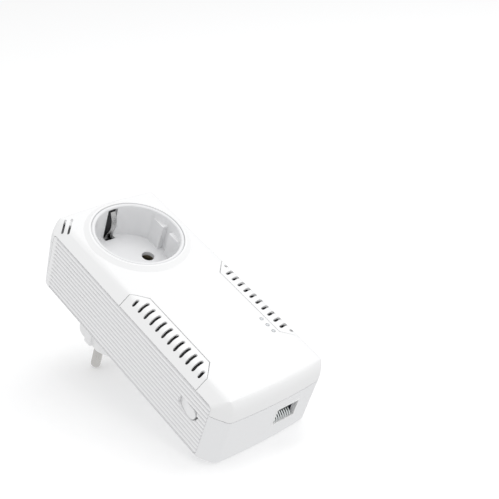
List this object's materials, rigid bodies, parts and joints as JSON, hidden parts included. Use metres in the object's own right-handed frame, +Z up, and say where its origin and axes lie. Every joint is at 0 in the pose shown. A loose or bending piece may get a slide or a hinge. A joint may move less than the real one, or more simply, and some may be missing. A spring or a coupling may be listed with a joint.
{
  "type": "powerline adapter",
  "caption": "White wall-plug powerline adapter with an earthed pass-through socket, slotted vents, ribbed sides, a network port in the lower end and a sprung pair button.",
  "frame": {"origin": "centre of the plug's flat contact face, midway between the two pins", "axes": "+Z up along the housing's length, towards the socket end; +Y out of the plug face along the pins, into the wall; -Y out of the front face; X across the width"},
  "size_m": [0.061, 0.0807, 0.1305],
  "materials": {
    "cover_plastic": "white moulded plastic, smooth satin",
    "shell_plastic": "white moulded plastic, fine satin",
    "ribbed_panel": "white moulded plastic, fine ribs",
    "vent_plastic": "white moulded plastic, smooth satin",
    "socket_plastic": "white thermoset, satin",
    "carrier_plastic": "black thermoset",
    "contact_brass": "spring brass, drawn",
    "busbar_brass": "stamped brass",
    "pin_nickel": "nickel plated brass, polished",
    "clip_nickel": "nickel plated spring bronze, satin",
    "strip_nickel": "nickel plated brass",
    "strap_steel": "zinc plated steel",
    "plug_plastic": "white thermoset, satin",
    "board_laminate": "green solder resist",
    "jack_plastic": "black moulded plastic",
    "jack_gold": "gold plated wires",
    "chip_black": "black moulding compound",
    "transformer_tape": "yellow polyester tape",
    "ferrite_core": "ground ferrite",
    "film_capacitor": "yellow moulded case",
    "can_sleeve": "black shrink sleeve",
    "varistor_coat": "blue dipped coating",
    "choke_winding": "enamelled copper wire",
    "crystal_can": "pressed steel can",
    "sink_aluminium": "anodised aluminium",
    "lens_plastic": "translucent light pipe",
    "led_plastic": "milky LED body",
    "screw_steel": "zinc plated steel",
    "button_plastic": "white moulded plastic, smooth",
    "switch_black": "black moulded plastic",
    "plunger_plastic": "white moulded plastic"
  },
  "bodies": {
    "housing": {"front_cover": "cover_plastic", "rear_shell": "shell_plastic", "left_side_panel": "ribbed_panel", "right_side_panel": "ribbed_panel", "left_vent_insert": "vent_plastic", "right_vent_insert": "vent_plastic", "socket_well": "socket_plastic", "contact_carrier": "carrier_plastic", "socket_contact_left": "contact_brass", "socket_contact_right": "contact_brass", "busbar_left": "busbar_brass", "busbar_right": "busbar_brass", "pin_left": "pin_nickel", "pin_right": "pin_nickel", "plug_earth_strip_upper": "strip_nickel", "plug_earth_strip_lower": "strip_nickel", "earth_bridge": "strap_steel", "earth_link": "strap_steel", "plug_body": "plug_plastic", "main_board": "board_laminate", "front_board": "board_laminate", "rj45_jack": "jack_plastic", "rj45_contacts": "jack_gold", "network_transformer": "chip_black", "mains_transformer": "transformer_tape", "coupling_transformer": "ferrite_core", "line_capacitor": "film_capacitor", "mains_fuse": "chip_black", "board_link": "chip_black", "bulk_capacitor_a": "can_sleeve", "bulk_capacitor_b": "can_sleeve", "output_capacitor": "can_sleeve", "surge_varistor": "varistor_coat", "line_choke": "choke_winding", "line_chip": "chip_black", "memory_chip": "chip_black", "clock_crystal": "crystal_can", "heat_sink": "sink_aluminium", "light_pipe_power": "lens_plastic", "light_pipe_network": "lens_plastic", "light_pipe_line": "lens_plastic", "led_power": "led_plastic", "led_network": "led_plastic", "led_line": "led_plastic", "screw_upper_left": "screw_steel", "screw_upper_right": "screw_steel", "screw_lower_left": "screw_steel", "screw_lower_right": "screw_steel", "tact_switch": "switch_black"},
    "button": {"pair_button": "button_plastic"},
    "plunger": {"tact_plunger": "plunger_plastic"},
    "clip_upper": {"earth_clip_upper": "clip_nickel"},
    "clip_lower": {"earth_clip_lower": "clip_nickel"}
  },
  "joints": [
    {"name": "pair_press", "type": "slide", "parent": "housing", "child": "button", "axis": [1, 0, 0], "range_m": [0, 0.001], "stiffness_N_per_m": 1200},
    {"name": "plunger_press", "type": "slide", "parent": "housing", "child": "plunger", "axis": [1, 0, 0], "range_m": [0, 0.001]},
    {"name": "clip_upper_flex", "type": "hinge", "parent": "housing", "child": "clip_upper", "pos_m": [0, -0.0428, 0.022], "axis": [-1, 0, 0], "range_deg": [0, 3], "stiffness_Nm_per_rad": 0.5},
    {"name": "clip_lower_flex", "type": "hinge", "parent": "housing", "child": "clip_lower", "pos_m": [0, -0.0428, -0.0184], "axis": [1, 0, 0], "range_deg": [0, 3], "stiffness_Nm_per_rad": 0.5}
  ],
  "couplings": [
    {"joint": "plunger_press", "follows": "pair_press", "ratio": 1}
  ]
}
